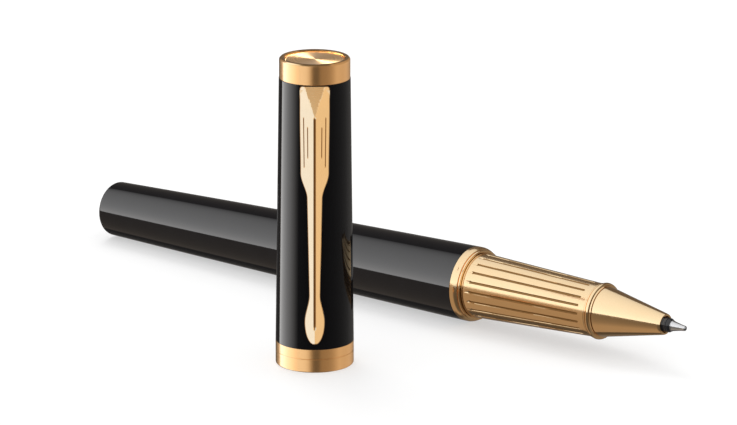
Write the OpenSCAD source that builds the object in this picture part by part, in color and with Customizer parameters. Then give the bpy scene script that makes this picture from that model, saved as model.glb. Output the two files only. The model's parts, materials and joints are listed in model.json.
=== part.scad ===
// Rollerball pen, opened: the pen lies on its side and its cap stands beside it on its open end.
// The origin is the centre of the cap's mouth, on the surface that both rest on. +Z is up, and +X runs
// along the lying pen towards its writing tip.
// The pen's own pieces are drawn about Z with Z = 0 at the barrel's mouth and the tip up, and
// lay_pen() lays them down. The cap's pieces are drawn where they stand.

/* [Barrel] */
// Whole length of the barrel, from its mouth to its rounded rear end
barrel_len = 83.1; // [70:0.1:110]
// How much smaller in radius the barrel is at its rear than at its mouth
barrel_taper = 1.5; // [0.5:0.05:1.9]
// How far the barrel's side swells past a straight taper
barrel_swell = 0.1; // [0:0.05:0.4]
// Radius of the barrel's rounded rear edge
barrel_end_round = 1.1; // [0.6:0.1:1.8]
// Thickness of the barrel tube behind its threaded insert
barrel_wall = 0.75; // [0.5:0.05:1]
// Thickness of the barrel's closed rear end
barrel_end_wall = 2.1; // [1.2:0.1:3]

/* [Trim ring and thread] */
// Height of the gold ring at the barrel's mouth
ring_h = 1.85; // [1.2:0.05:2.6]
// How far the ring and barrel stand out past the section's flange
ring_proud = 0.85; // [0.5:0.05:1.5]
// Length of the ring's spigot inside the barrel
ring_spigot_h = 1.2; // [0.8:0.1:2]
// Thickness of the thread bush under its thread
bush_wall = 0.4; // [0.3:0.05:0.6]
// Depth of the male thread
thread_depth = 0.25; // [0.15:0.05:0.35]
// Pitch of the thread
thread_pitch = 0.75; // [0.5:0.05:1]
// Length of the male thread's stub behind the ring
thread_len = 6; // [5:0.5:9]
// How much longer the barrel's threaded insert is than the stub
insert_extra = 4; // [2:0.5:6]
// Thickness of the threaded insert
insert_wall = 1; // [0.8:0.05:1.2]

/* [Grip section] */
// Thickness of the thread bush's flange, seen between the ring and the grip
flange_h = 0.29; // [0.2:0.01:0.6]
// How far the flange stands out past the grip's rear edge
flange_proud = 0.06; // [0:0.01:0.2]
// Length of the fluted grip sleeve
grip_len = 24.95; // [20:0.05:32]
// How much smaller in radius the grip sleeve is at its front than at its rear
grip_taper = 1.02; // [0.6:0.02:1.6]
// Number of lengthwise flutes round the grip
flute_count = 20; // [12:1:30]
// Turn of the first flute about the pen's axis, in degrees
flute_turn = 15; // [0:1:30]
// Radius of each flute's round cutter
flute_r = 0.13; // [0.08:0.01:0.2]
// Plain length left at each end of the grip
flute_margin = 1.2; // [0.6:0.1:3]
// Thickness of the gold grip sleeve
grip_wall = 0.5; // [0.35:0.05:0.7]
// Thickness of the section core's thin front end
core_front_wall = 0.39; // [0.3:0.01:0.6]
// How far the bead ring in front of the grip stands out past the grip
bead_proud = 0.31; // [0.25:0.01:0.6]
// Height of the bead ring
bead_h = 1.35; // [1:0.05:2]

/* [Nose] */
// Length of the nose cone that shows
nose_len = 12.37; // [11:0.01:15]
// Thickness of the nose cone's spigot
nose_spigot_wall = 0.25; // [0.2:0.01:0.4]
// How far the nose cone's rear edge stands out past its spigot
nose_step = 0.54; // [0.3:0.02:0.7]
// Thickness of the nose cone at its mouth
nose_mouth_wall = 0.35; // [0.25:0.01:0.6]
// Length of the nose cone's straight mouth hole
nose_bore_len = 2; // [1:0.1:3]
// How far the nose cone's spigot reaches back into the section
nose_spigot_len = 4; // [2.5:0.1:6]

/* [Refill] */
// Radius of the refill's tube
refill_r = 3.15; // [2.8:0.01:3.8]
// Thickness of the refill's tube
refill_wall = 0.35; // [0.2:0.05:0.5]
// Radius of the black tip holder where it leaves the nose cone
holder_r = 1.21; // [1.1:0.01:1.4]
// Clearance round the tip holder in the nose cone's mouth
holder_gap = 0.21; // [0.1:0.01:0.3]
// How far the tip holder stands out of the nose cone
holder_reach = 1.38; // [0.8:0.02:2.2]
// Length of the steel point in front of the tip holder
point_len = 2.82; // [2:0.01:4]
// Radius of the steel point where it leaves the tip holder
point_r = 0.93; // [0.8:0.01:1]
// Radius of the writing ball
ball_r = 0.35; // [0.3:0.01:0.45]
// Radius of the ink feed rod
feed_r = 0.45; // [0.35:0.05:0.55]
// Length of the feed rod inside the ink reservoir
feed_depth = 12; // [8:1:20]

/* [Refill spring] */
// Room for the spring between the refill and the spring seat
spring_room = 8.4; // [6:0.1:12]
// Mean radius of the spring's coil
spring_r = 2.4; // [2:0.1:2.7]
// Radius of the spring's wire
spring_wire_r = 0.2; // [0.15:0.01:0.3]
// Number of turns of the spring
spring_turns = 6; // [4:1:8]
// Thickness of the spring seat's disc
seat_h = 1.5; // [1:0.1:2.5]
// Radius of the pegs that centre the spring
peg_r = 1.7; // [1.2:0.1:1.7]

/* [Cap] */
// Thickness of the cap's lip
lip_wall = 0.78; // [0.6:0.02:1.2]
// Height of the gold lip band
lip_band_h = 3.95; // [2.5:0.05:6]
// Height of the lip band's turned-in foot
lip_foot_h = 1; // [0.6:0.1:1.6]
// How much smaller in radius the cap is at its top than at its lip
cap_taper = 0.6; // [0.3:0.05:0.8]
// Depth of the wide mouth in front of the inner cap
mouth_depth = 7; // [5:0.5:10]
// Gap between the end of the wide mouth and the inner cap
inner_gap = 0.3; // [0.1:0.05:0.6]
// Free length between the writing tip and the inner cap's end, when capped
tip_room = 1.36; // [0.8:0.02:3]
// Thickness of the inner cap's closed end
inner_end_h = 3.4; // [2.4:0.1:5]
// How far the clutch ring stands in past the bead
clutch_bite = 0.18; // [0.1:0.02:0.25]
// Height of the clutch ring
clutch_h = 1; // [0.6:0.1:1.4]

/* [Cap top] */
// Height of the gold top ring
top_ring_h = 3.43; // [2.6:0.01:5]
// Thickness of the top ring's floor
top_floor_h = 1; // [0.7:0.1:1.4]
// Thickness of the top ring's wall
top_ring_wall = 0.93; // [0.6:0.01:1.3]
// How far the top disc is set below the rim
disc_recess = 0.3; // [0.1:0.05:0.6]
// Thickness of the top disc
disc_h = 0.5; // [0.3:0.05:0.7]
// Radius of the top screw's shank
screw_r = 1.5; // [1.2:0.1:1.6]
// Radius of the top screw's head
screw_head_r = 3; // [2.2:0.1:3.6]

/* [Clip] */
// Turn of the clip about the cap, from +X
clip_turn = -49.56; // [-90:0.01:-20]
// Thickness of the clip's mounting plate
clip_plate_h = 0.58; // [0.4:0.02:0.8]
// Width of the clip at its shoulder
clip_w = 4.9; // [4:0.1:5.6]
// Width of the clip at its narrowest, above the rounded pad
clip_neck_w = 1.8; // [1.4:0.1:2.4]
// Width of the rounded pad at the clip's end
clip_pad_w = 3.3; // [2.6:0.1:4]
// Height of the clip's end above the lip band
clip_clear = 1.2; // [0.6:0.1:3]
// Thickness of the clip's arm
clip_t = 0.9; // [0.6:0.05:1.1]
// How far the clip's front face stands out from the cap's side
clip_stand = 1.55; // [1.4:0.05:2]

/* [Layout] */
// How far the pen's axis lies behind the cap's axis
pen_y = 35.43; // [20:0.01:60]
// How far the barrel's mouth lies to the right of the cap's axis
pen_x = 5.28; // [-30:0.01:40]

/* [Hidden] */
$fn = 96;
fit = 0.02;                                   // gap between pieces pressed or screwed together
run = 0.05;                                   // running clearance of the thread
slide = 0.2;                                  // sliding clearance round the refill

// Radii, from the refill outwards: each piece fits round the one inside it
core_bore_r = refill_r + slide;
core_wall = nose_spigot_wall + 0.3;
bush_bore_r = core_bore_r + core_wall;
thread_root_r = bush_bore_r + bush_wall;
thread_r = thread_root_r + thread_depth;
thread_bore_r = thread_r + run;
insert_r = thread_bore_r + insert_wall;
nose_spigot_r = core_bore_r + nose_spigot_wall;
nose_rear_r = nose_spigot_r + nose_step;
nose_bore_r = holder_r + holder_gap;
nose_mouth_r = nose_bore_r + nose_mouth_wall;
grip_front_r = nose_spigot_r + core_front_wall + grip_wall + 2 * fit;
grip_rear_r = grip_front_r + grip_taper;
bead_r = grip_front_r + bead_proud;
flange_r = grip_rear_r + flange_proud;
barrel_mouth_r = flange_r + ring_proud;
barrel_rear_r = barrel_mouth_r - barrel_taper;

// Barrel, from its mouth back
taper_len = barrel_len - barrel_end_round;
insert_len = thread_len + insert_extra;
barrel_floor = barrel_len - barrel_end_wall;
swell_steps = 16;
function barrel_r(s) = barrel_mouth_r + (barrel_rear_r - barrel_mouth_r) * s + 4 * barrel_swell * s * (1 - s);

// Section, from the barrel's mouth forward
flange_z = ring_h + fit;
grip_z = flange_z + flange_h;
bead_z = grip_z + grip_len + fit;
nose_z = bead_z + bead_h + fit;
tip_z = nose_z + nose_len + holder_reach + point_len;
grip_slope = atan((grip_rear_r - grip_front_r) / grip_len);

// Nose cone's inside and the refill's front
nose_slope = (nose_rear_r - nose_mouth_r) / nose_len;
function nose_r(z) = nose_rear_r - nose_slope * (z - nose_z);
refill_front = nose_z + 1.2;
ledge_z = nose_z + nose_len * 0.49;
ledge_r = nose_r(ledge_z) - 0.6;
ledge_hole_r = ledge_r - 0.55;
nose_end = nose_z + nose_len;
holder_end = nose_end + holder_reach;
chamfer_h = 0.35;

// Refill, from its front back
seat_face = -(barrel_floor - seat_h - fit);
peg_h = 1;
refill_rear = seat_face + spring_room;
plug_h = 0.9;
plug_depth = 3.5;
tube_rear = refill_rear + plug_h + fit;
tube_front = nose_z - 0.6;
refill_bore_r = refill_r - refill_wall;
holder_spigot = 5;
shank_r = point_r - 0.23;
shank_len = 4;
feed_rear = tube_front - holder_spigot - fit - feed_depth;
feed_front = holder_end - shank_len - fit;
ball_z = tip_z - ball_r;
socket_gap = 0.02;

// Cap, from its mouth up. When the cap is on, its mouth meets the ring's front face.
cap_bore_r = flange_r + 0.11;
cap_lip_r = cap_bore_r + lip_wall;
band_seat_r = cap_lip_r - 0.38;
inner_z = mouth_depth + inner_gap;
inner_bore_r = grip_rear_r - (mouth_depth - grip_z + ring_h) * tan(grip_slope) + 0.11;
clutch_top = bead_z - ring_h - 0.1;
clutch_z = clutch_top - clutch_h;
clutch_r = bead_r - clutch_bite;
chamber_r = bead_r + 0.11;
chamber_top = tip_z - ring_h + tip_room;
inner_top = chamber_top + inner_end_h;
plate_z = inner_top + fit;
ring_z = plate_z + clip_plate_h + 0.1;
tube_top = ring_z - fit;
top_r = cap_lip_r - cap_taper;
bore_top_r = top_r - 0.5;
cap_top = ring_z + top_ring_h;
top_ring_r = top_r - 0.06;
cup_r = top_ring_r - top_ring_wall;
function cap_r(z) = cap_lip_r - cap_taper * (z - lip_band_h) / (tube_top - lip_band_h);
function cap_in_r(z) = cap_bore_r - (cap_bore_r - bore_top_r) * (z - mouth_depth) / (tube_top - mouth_depth);

// Clip, in its own upright plane: X is out from the cap's axis. It bends about its knuckle.
knuckle_r = clip_plate_h / 2 - 0.02;
knuckle_z = plate_z + clip_plate_h / 2;
knuckle_x = top_r + 0.05;
clip_end = lip_band_h + clip_clear;
crest_z = tube_top - 4.1;
clip_face = clip_stand;
plate_r = cap_in_r(tube_top) - 0.04;

// How the pen lies: on its swollen barrel, with the ring and the rear end equally clear
pen_tilt = atan((barrel_mouth_r - barrel_rear_r) / taper_len);
pen_z = (barrel_mouth_r + barrel_swell) * cos(pen_tilt);

module lay_pen() {
    translate([pen_x, pen_y, pen_z]) rotate([0, 90 - pen_tilt, 0]) children();
}

// A round tube or ring from z0 to z1, with its wall from r_in to r_out
module sleeve(r_in, r_out, z0, z1) {
    difference() {
        translate([0, 0, z0]) cylinder(h = z1 - z0, r = r_out);
        translate([0, 0, z0 - 1]) cylinder(h = z1 - z0 + 2, r = r_in);
    }
}

// A solid cylinder or cone from z0 to z1
module rod(r0, r1, z0, z1) {
    translate([0, 0, z0]) cylinder(h = z1 - z0, r1 = r0, r2 = r1);
}

// ---- barrel ----

module barrel_tube() {
    side = [for (i = [0 : swell_steps]) [barrel_r(i / swell_steps), -taper_len * i / swell_steps]];
    round_steps = 10;
    edge = [for (i = [1 : round_steps]) let (a = 90 * i / round_steps)
        [barrel_rear_r - barrel_end_round * (1 - cos(a)), -taper_len - barrel_end_round * sin(a)]];
    bore_rear_r = barrel_rear_r - barrel_wall;
    color("#101012") lay_pen() rotate_extrude() polygon(concat(
        side, edge,
        [[0, -barrel_len], [0, -barrel_floor], [bore_rear_r, -barrel_floor],
            [bore_rear_r, -barrel_floor + seat_h + 2],
            [insert_r - 0.3, -insert_len - ring_spigot_h - 0.2],
            [insert_r + fit, -insert_len - ring_spigot_h - 0.2], [insert_r + fit, 0]]));
}

module barrel_thread_insert() {
    color("#b08d4f") lay_pen()
        sleeve(thread_bore_r, insert_r, -insert_len - ring_spigot_h, -ring_spigot_h - fit);
}

module trim_ring() {
    ring_edge = 0.15;
    color("#d9a860") lay_pen() rotate_extrude() polygon([
        [thread_bore_r + 0.1, -ring_spigot_h], [insert_r, -ring_spigot_h], [insert_r, fit],
        [barrel_mouth_r, fit], [barrel_mouth_r, ring_h - ring_edge],
        [barrel_mouth_r - ring_edge, ring_h], [thread_bore_r + 0.1, ring_h]]);
}

module spring_seat() {
    color("#2c2c30") lay_pen() {
        rod(barrel_rear_r - barrel_wall - 0.05, barrel_rear_r - barrel_wall - 0.05,
            seat_face - seat_h, seat_face);
        rod(peg_r, peg_r, seat_face - seat_h, seat_face + peg_h);
    }
}

// One closed mesh swept along the helix, with flat-lying half turns left out at its ends
module refill_spring() {
    sides = 8;
    steps = 24;
    rings = spring_turns * steps;
    low = seat_face + spring_wire_r + fit;
    high = refill_rear - spring_wire_r - fit;
    points = [for (i = [0 : rings], j = [0 : sides - 1])
        let (a = 360 * i / steps, b = 360 * j / sides, r = spring_r + spring_wire_r * cos(b))
        [r * cos(a), r * sin(a), low + (high - low) * i / rings + spring_wire_r * sin(b)]];
    walls = [for (i = [0 : rings - 1], j = [0 : sides - 1])
        let (k = (j + 1) % sides)
        [i * sides + j, i * sides + k, (i + 1) * sides + k, (i + 1) * sides + j]];
    ends = [[for (j = [sides - 1 : -1 : 0]) j], [for (j = [0 : sides - 1]) rings * sides + j]];
    color("#c3c6ca") lay_pen() polyhedron(points, concat(walls, ends));
}

// ---- section ----

// Threaded bush. The thread is a row of ridges round a plain stub.
module section_thread() {
    ridge_count = floor((thread_len - 1.5) / thread_pitch);
    color("#c9a05a") lay_pen() difference() {
        union() {
            rod(thread_root_r, thread_root_r, -thread_len, flange_z + fit);
            rod(flange_r, flange_r, flange_z, flange_z + flange_h);
            for (i = [1 : ridge_count]) {
                ridge_z = -thread_len + 0.5 + i * thread_pitch;
                rod(thread_root_r, thread_r, ridge_z - thread_pitch / 2, ridge_z - thread_pitch / 4);
                rod(thread_r, thread_r, ridge_z - thread_pitch / 4, ridge_z);
            }
        }
        rod(bush_bore_r, bush_bore_r, -thread_len - 1, flange_z + flange_h + 1);
    }
}

module section_core() {
    rear_r = grip_rear_r - grip_wall - fit;
    front_r = grip_front_r - grip_wall - fit;
    core_front = grip_z + grip_len - 0.2;
    color("#1d1d20") lay_pen() difference() {
        union() {
            rod(bush_bore_r - fit, bush_bore_r - fit, -thread_len, grip_z + 1);
            rod(rear_r, front_r, grip_z + fit, core_front);
        }
        rod(core_bore_r, core_bore_r, -thread_len - 1, core_front + 1);
        rod(nose_spigot_r + fit, nose_spigot_r + fit, bead_z - nose_spigot_len - fit, core_front + 1);
    }
}

module grip_sleeve() {
    z0 = grip_z + fit;
    z1 = grip_z + grip_len;
    flute_len = grip_len - 2 * flute_margin;
    color("#d9a860") lay_pen() difference() {
        rod(grip_rear_r, grip_front_r, z0, z1);
        rod(grip_rear_r - grip_wall, grip_front_r - grip_wall, z0 - 0.001, z1 + 0.001);
        for (i = [0 : flute_count - 1])
            rotate([0, 0, flute_turn + 360 * i / flute_count])
                translate([grip_rear_r - flute_margin * tan(grip_slope), 0, z0 + flute_margin])
                    rotate([0, -grip_slope, 0])
                        cylinder(h = flute_len, r = flute_r, $fn = 24);
    }
}

module bead_ring() {
    steps = 10;
    color("#d9a860") lay_pen() rotate_extrude() polygon(concat(
        [[nose_spigot_r + fit, bead_z]],
        [for (i = [0 : steps]) let (a = 180 * i / steps)
            [bead_r - 0.24 * (1 - sin(a)), bead_z + bead_h * (1 - cos(a)) / 2]],
        [[nose_spigot_r + fit, bead_z + bead_h]]));
}

module nose_cone() {
    color("#d9a860") lay_pen() rotate_extrude() polygon([
        [nose_spigot_r, bead_z - nose_spigot_len], [nose_spigot_r, nose_z], [nose_rear_r, nose_z],
        [nose_mouth_r, nose_end - 0.1], [nose_mouth_r - 0.1, nose_end], [nose_bore_r, nose_end],
        [nose_bore_r, nose_end - nose_bore_len], [ledge_hole_r, ledge_z], [ledge_r, ledge_z],
        [core_bore_r, refill_front + 0.3], [core_bore_r, bead_z - nose_spigot_len]]);
}

// ---- refill ----

module refill_tube() {
    color("#e8e8ea") lay_pen() sleeve(refill_bore_r, refill_r, tube_rear, tube_front);
}

module refill_end_plug() {
    color("#202024") lay_pen() {
        rod(peg_r, peg_r, refill_rear - peg_h, refill_rear + plug_h);
        rod(refill_r, refill_r, refill_rear, refill_rear + plug_h);
        rod(refill_bore_r - fit, refill_bore_r - fit, refill_rear, refill_rear + plug_h + plug_depth);
    }
}

module ink_reservoir() {
    color("#1b2a6b") lay_pen() difference() {
        rod(refill_bore_r - 0.04, refill_bore_r - 0.04, refill_rear + plug_h + plug_depth + 0.5,
            tube_front - holder_spigot - fit);
        rod(feed_r + fit, feed_r + fit, feed_rear - fit, tube_front);
    }
}

module ink_feed() {
    color("#f2f2f2") lay_pen() rod(feed_r, feed_r, feed_rear, feed_front);
}

module tip_holder() {
    shoulder_r = ledge_r - 0.2;
    color("#17171a") lay_pen() rotate_extrude() polygon([
        [feed_r + fit, tube_front - holder_spigot], [refill_bore_r - fit, tube_front - holder_spigot],
        [refill_bore_r - fit, tube_front + fit], [refill_r, tube_front + fit],
        [refill_r, refill_front], [shoulder_r, ledge_z - fit], [ledge_hole_r - 0.2, ledge_z - fit],
        [holder_r, nose_end - nose_bore_len], [holder_r, holder_end - chamfer_h],
        [point_r + 0.02, holder_end], [shank_r + fit, holder_end],
        [shank_r + fit, holder_end - shank_len - fit], [feed_r + fit, holder_end - shank_len - fit]]);
}

module steel_point() {
    mouth_r = ball_r * 1.2;
    channel_r = ball_r * 0.6;
    color("#c9ccd0") lay_pen() difference() {
        union() {
            rod(shank_r, shank_r, holder_end - shank_len, holder_end + fit);
            rod(point_r, mouth_r, holder_end + fit, ball_z + ball_r * 0.45);
        }
        rod(channel_r, channel_r, holder_end - shank_len - 1, ball_z);
        translate([0, 0, ball_z]) sphere(r = ball_r + socket_gap);
    }
}

module writing_ball() {
    color("#8d9095") lay_pen() translate([0, 0, ball_z]) sphere(r = ball_r);
}

// ---- cap ----

module cap_lip_band() {
    edge = 0.15;
    line_z = lip_band_h * 0.58;
    line_w = 0.12;
    line_d = 0.06;
    color("#d9a860") rotate_extrude() polygon([
        [cap_bore_r, 0], [cap_lip_r - edge, 0], [cap_lip_r, edge],
        [cap_lip_r, line_z - line_w / 2], [cap_lip_r - line_d, line_z],
        [cap_lip_r, line_z + line_w / 2], [cap_lip_r, lip_band_h],
        [band_seat_r + fit, lip_band_h], [band_seat_r + fit, lip_foot_h], [cap_bore_r, lip_foot_h]]);
}

module cap_tube() {
    notch_w = clip_w + 0.2;
    color("#101012") difference() {
        rotate_extrude() polygon([
            [cap_bore_r, lip_foot_h + fit], [band_seat_r, lip_foot_h + fit],
            [band_seat_r, lip_band_h + fit], [cap_r(lip_band_h), lip_band_h + fit],
            [top_r, tube_top], [bore_top_r, tube_top],
            [cap_bore_r, mouth_depth]]);
        rotate([0, 0, clip_turn])
            translate([top_r / 2, -notch_w / 2, plate_z - 0.08])
                cube([top_r, notch_w, tube_top - plate_z + 1]);
    }
}

module inner_cap() {
    color("#26262a") difference() {
        rotate_extrude() polygon([
            [inner_bore_r, inner_z], [cap_in_r(inner_z) - fit, inner_z],
            [cap_in_r(inner_top) - fit, inner_top], [0, inner_top], [0, chamber_top],
            [chamber_r, chamber_top], [chamber_r, clutch_top + fit], [inner_bore_r, clutch_top + fit]]);
        rod(screw_r + fit, screw_r + fit, inner_top - screw_depth() - fit, inner_top + 1);
    }
}

function screw_depth() = inner_end_h * 0.7;

// Its rear mouth opens out, so that the bead rides in
module clutch_ring() {
    lead = 0.3;
    color("#b9bcc0") rotate_extrude() polygon([
        [clutch_r + lead, clutch_z], [inner_bore_r - fit, clutch_z], [inner_bore_r - fit, clutch_top],
        [clutch_r, clutch_top], [clutch_r, clutch_z + lead]]);
}

// Flat plate clamped on the inner cap, with a tongue through the tube's notch to the clip
module clip_plate() {
    tongue_end = knuckle_x - knuckle_r - 0.06;
    color("#d9a860") difference() {
        union() {
            rod(plate_r, plate_r, plate_z, plate_z + clip_plate_h);
            intersection() {
                rotate([0, 0, clip_turn])
                    translate([0, -clip_w / 2, plate_z]) cube([tongue_end, clip_w, clip_plate_h]);
                rod(tongue_end, tongue_end, plate_z - 1, plate_z + clip_plate_h + 1);
            }
        }
        rod(screw_r + 0.1, screw_r + 0.1, plate_z - 1, plate_z + clip_plate_h + 1);
    }
}

// Distance of the clip's front face from the cap's axis, at a height
function clip_front_x(z) = cap_r(z) + clip_face;

module clip_side_outline() {
    bump_z = clip_end + 3.8;
    tip_x = clip_front_x(clip_end) - 0.75;
    shoulder = [
        [knuckle_x + 0.5, knuckle_z + knuckle_r - 0.04],
        [clip_front_x(crest_z) - 0.1, crest_z],
        [clip_front_x(crest_z - 8), crest_z - 8],
        [clip_front_x(clip_end + 8), clip_end + 8]];
    front_round = [for (a = [15 : 15 : 75])
        [tip_x + 0.75 * cos(a), clip_end + 4 - 4 * sin(a)]];
    foot = [[tip_x, clip_end], [tip_x - 0.3, clip_end + 0.2]];
    bump = [for (a = [30 : 30 : 150])
        [cap_r(bump_z) + 0.85 - 0.68 * sin(a), bump_z - 1.6 * cos(a)]];
    back = [
        [clip_front_x(crest_z - 8) - clip_t, crest_z - 8],
        [clip_front_x(crest_z) - 0.1 - clip_t, crest_z]];
    root = [[knuckle_x + 0.1, knuckle_z - 0.2], [knuckle_x, knuckle_z], [knuckle_x, knuckle_z + knuckle_r - 0.04]];
    polygon(concat(shoulder, front_round, foot, bump, back, root));
}

// The clip seen from the front: X across, Y up
module clip_front_outline() {
    half = clip_w / 2;
    neck = clip_neck_w / 2;
    wide_end = crest_z - 10.2;
    neck_z = wide_end - 4.3;
    pad_half = clip_pad_w / 2;
    pad_z = clip_end + 4;
    steps = 8;
    blend = [for (i = [0 : steps]) let (s = i / steps, e = s * s * (3 - 2 * s))
        [half - 0.12 + (neck + 0.35 - half + 0.12) * e, wide_end + (neck_z - wide_end) * s]];
    flare = [for (i = [0 : steps]) let (s = i / steps, e = s * s * (3 - 2 * s))
        [neck + (pad_half - neck) * e, pad_z + 4.6 * (1 - s)]];
    pad = [for (a = [15 : 15 : 90]) [pad_half * cos(a), pad_z - (pad_z - clip_end) * sin(a)]];
    right = concat([[half, tube_top], [half, crest_z]], blend, flare, pad);
    left = [for (i = [len(right) - 2 : -1 : 0]) [-right[i][0], right[i][1]]];
    polygon(concat(right, left));
}

// A straight V-shaped cut along the clip's front face, between two heights
module clip_vee(z0, z1) {
    x0 = clip_front_x(z0);
    x1 = clip_front_x(z1);
    vee = 0.6;
    translate([x0, 0, z0]) rotate([0, atan((x1 - x0) / (z1 - z0)), 0])
        rotate([0, 0, 45]) translate([-vee / 2, -vee / 2, 0]) cube([vee, vee, z1 - z0]);
}

module clip() {
    color("#d9a860") rotate([0, 0, clip_turn]) difference() {
        intersection() {
            rotate([90, 0, 0]) translate([0, 0, -clip_w / 2 - 1]) {
                linear_extrude(height = clip_w + 2) clip_side_outline();
                translate([knuckle_x, knuckle_z, 0]) cylinder(h = clip_w + 2, r = knuckle_r);
            }
            rotate([90, 0, 90]) translate([0, 0, 1])
                linear_extrude(height = cap_lip_r + 10) clip_front_outline();
        }
        clip_vee(clip_end + 3, crest_z - 1);
    }
}

module cap_top_ring() {
    bevel = 0.3;
    color("#d9a860") rotate_extrude() polygon([
        [screw_r + 0.1, ring_z], [top_ring_r, ring_z], [top_ring_r, cap_top - bevel],
        [top_ring_r - bevel, cap_top], [cup_r, cap_top], [cup_r, ring_z + top_floor_h],
        [screw_r + 0.1, ring_z + top_floor_h]]);
}

module cap_top_disc() {
    color("#d9a860")
        rod(cup_r - 0.08, cup_r - 0.08, cap_top - disc_recess - disc_h, cap_top - disc_recess);
}

module cap_top_screw() {
    head_z = ring_z + top_floor_h + fit;
    color("#9a9da2") {
        rod(screw_r, screw_r, inner_top - screw_depth(), head_z + 0.1);
        rod(screw_head_r, screw_head_r, head_z, cap_top - disc_recess - disc_h - 0.1);
    }
}

barrel_tube();
barrel_thread_insert();
trim_ring();
spring_seat();
refill_spring();
section_thread();
section_core();
grip_sleeve();
bead_ring();
nose_cone();
refill_tube();
refill_end_plug();
ink_reservoir();
ink_feed();
tip_holder();
steel_point();
writing_ball();
cap_tube();
cap_lip_band();
inner_cap();
clutch_ring();
clip_plate();
clip();
cap_top_ring();
cap_top_disc();
cap_top_screw();
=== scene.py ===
import json
import math

import bmesh
import bpy
from mathutils import Matrix, Vector


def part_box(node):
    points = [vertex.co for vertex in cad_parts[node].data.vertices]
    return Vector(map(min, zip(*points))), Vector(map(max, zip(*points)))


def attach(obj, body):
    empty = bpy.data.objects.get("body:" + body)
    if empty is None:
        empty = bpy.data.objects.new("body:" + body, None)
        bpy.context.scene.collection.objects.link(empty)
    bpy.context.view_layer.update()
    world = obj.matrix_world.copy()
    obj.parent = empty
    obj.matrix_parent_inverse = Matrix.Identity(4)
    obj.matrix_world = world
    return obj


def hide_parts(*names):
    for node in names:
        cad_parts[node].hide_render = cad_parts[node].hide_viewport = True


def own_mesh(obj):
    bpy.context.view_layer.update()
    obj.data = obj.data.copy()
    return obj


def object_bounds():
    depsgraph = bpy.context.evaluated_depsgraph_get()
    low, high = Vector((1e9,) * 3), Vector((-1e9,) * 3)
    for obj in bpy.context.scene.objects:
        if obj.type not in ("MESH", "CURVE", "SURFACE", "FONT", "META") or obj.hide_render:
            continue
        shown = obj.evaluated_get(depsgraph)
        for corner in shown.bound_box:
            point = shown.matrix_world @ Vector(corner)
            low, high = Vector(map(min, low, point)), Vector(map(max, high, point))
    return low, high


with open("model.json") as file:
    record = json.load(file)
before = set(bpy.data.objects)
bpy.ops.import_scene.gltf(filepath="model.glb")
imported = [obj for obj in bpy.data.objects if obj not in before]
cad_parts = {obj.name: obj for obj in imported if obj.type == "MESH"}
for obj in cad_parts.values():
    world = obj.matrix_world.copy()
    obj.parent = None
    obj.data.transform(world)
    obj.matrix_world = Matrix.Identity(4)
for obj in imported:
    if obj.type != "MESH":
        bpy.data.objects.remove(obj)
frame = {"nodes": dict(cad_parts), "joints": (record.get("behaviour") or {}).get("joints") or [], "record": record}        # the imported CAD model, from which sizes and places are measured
cad_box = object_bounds()

MM = 0.001               # the meshes are worked out in millimetres and stored in metres
TURNS = 192              # corners round a turned piece
SLIM_TURNS = 128         # the same for the slim pieces at the refill's front
BALL_TURNS = 64          # the same for the writing ball
FIT_GAP = 0.004          # how far inside the CAD surface a fine mesh stays, in millimetres
ROUNDING_STEPS = 10      # straight bits in the arc of a rounded corner
GUARD = 0.03             # distance of a guard point from its corner, in millimetres

JOINTS = {joint["name"]: joint for joint in frame["joints"]}
TURN_PER_METRE = frame["record"]["behaviour"]["couplings"][0]["ratio"]   # of the barrel, in radians
PITCH = 2 * math.pi / TURN_PER_METRE / MM      # of the thread, in millimetres

# The pen's own frame: heights start at the barrel's mouth and grow towards the tip.
TO_TIP = -Vector(JOINTS["barrel_turn"]["axis"]).normalized()
PEN_X = Vector((0, 1, 0)).cross(TO_TIP).normalized()
PEN = Matrix.Translation(Vector(JOINTS["barrel_turn"]["pos_m"])) @ Matrix(
    (PEN_X, TO_TIP.cross(PEN_X), TO_TIP)).transposed().to_4x4()
# The cap stands upright on the origin. The clip's frame has x from the cap's axis to the clip.
CAP = Matrix.Identity(4)
CLIP_ROOT = Vector(JOINTS["clip_flex"]["pos_m"])
CLIP_TURN = math.atan2(CLIP_ROOT.y, CLIP_ROOT.x)
CLIP = Matrix.Rotation(CLIP_TURN, 4, "Z")
TO_CAMERA = CLIP_TURN    # the clip faces the camera


# ---- measuring the frame

def rings(node, placed):
    """(height, largest radius) of a CAD node's corners about an axis, in millimetres, from low
    to high."""
    inverse = placed.inverted()
    found = {}
    for corner in frame["nodes"][node].data.vertices:
        p = (inverse @ corner.co) / MM
        height = round(p.z, 2)
        found[height] = max(found.get(height, 0), math.hypot(p.x, p.y))
    return sorted(found.items())


def ends(node, placed):
    """Lowest and highest height of a CAD node along an axis, in millimetres."""
    found = rings(node, placed)
    return found[0][0], found[-1][0]


def widest(node, placed):
    """Largest radius of a CAD node about an axis, in millimetres."""
    return max(radius for _, radius in rings(node, placed))


def span(node, placed):
    """Lowest height, highest height, and the radius of the fine mesh that stands for a node."""
    return *ends(node, placed), widest(node, placed) - FIT_GAP


def ring_near(node, placed, height, least=0.0):
    """Radius of the ring nearest to a height, among those at least so wide."""
    found = [(abs(h - height), r) for h, r in rings(node, placed) if r >= least]
    return min(found)[1]


def mount(name):
    """The record's entry for a mount."""
    return next(m for m in frame["record"]["mounts"] if m["name"] == name)


# ---- meshes

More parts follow.
